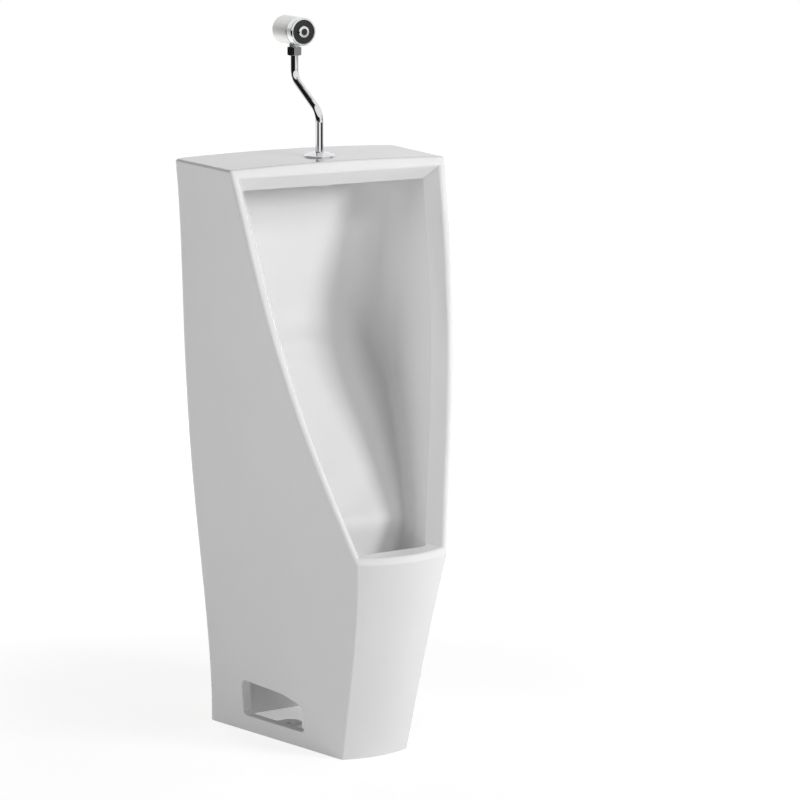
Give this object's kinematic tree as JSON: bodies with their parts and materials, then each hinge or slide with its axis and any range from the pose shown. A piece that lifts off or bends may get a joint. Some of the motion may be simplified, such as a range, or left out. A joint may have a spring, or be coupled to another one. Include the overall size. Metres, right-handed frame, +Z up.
{
  "type": "floor standing urinal",
  "caption": "White ceramic floor standing urinal: tapered column with open sloping niche, front lip, trough and trap in the foot, fed by a wall push-button flush valve and bent chrome tube.",
  "frame": {"origin": "on the floor, at the centre of the footprint's bounding box", "axes": "+Z up, +Y towards the wall behind, front towards -Y, +X to the right of someone who faces the front"},
  "size_m": [0.43, 0.4347, 1.235],
  "materials": {
    "glazed_white": "white gloss glaze",
    "chrome_plate": "polished chrome",
    "satin_chrome": "satin chrome",
    "black_ring": "black, smooth",
    "dark_insert": "dark grey, smooth",
    "rubber_black": "matt black",
    "brass_bare": "turned",
    "stainless": "brushed",
    "white_plastic": "moulded white"
  },
  "bodies": {
    "fixture": {"urinal_body": "glazed_white", "tube_escutcheon": "chrome_plate", "flush_tube": "chrome_plate", "outlet_nut": "chrome_plate", "valve_body": "satin_chrome", "cap_ring": "chrome_plate", "face_ring": "black_ring", "inlet_seal": "rubber_black", "flush_spreader": "white_plastic", "outlet_cone_seal": "rubber_black", "inlet_nipple": "brass_bare", "inlet_filter": "stainless", "return_spring": "stainless", "bonnet": "brass_bare", "bonnet_o_ring": "rubber_black", "stem_o_ring": "rubber_black", "waste_body": "chrome_plate", "waste_upper_gasket": "rubber_black", "waste_lower_gasket": "rubber_black", "waste_slip_washer": "stainless", "waste_locknut": "brass_bare", "trap_inlet_nut": "white_plastic", "trap_inlet_seal": "rubber_black", "trap_u_bend": "white_plastic", "trap_union_nut": "white_plastic", "trap_union_seal": "rubber_black", "trap_outlet_pipe": "white_plastic"},
    "button": {"push_button": "chrome_plate", "button_insert": "dark_insert", "button_stem": "stainless", "valve_poppet": "brass_bare", "poppet_seal": "rubber_black"},
    "strainer": {"drain_strainer": "stainless"}
  },
  "joints": [
    {"name": "button_press", "type": "slide", "parent": "fixture", "child": "button", "axis": [0, 1, 0], "range_m": [0, 0.0045], "stiffness_N_per_m": 1500, "springref_m": -0.003, "deforming": ["return_spring"]},
    {"name": "strainer_lift", "type": "slide", "parent": "fixture", "child": "strainer", "axis": [0, 0, 1], "range_m": [0, 0.06]}
  ]
}
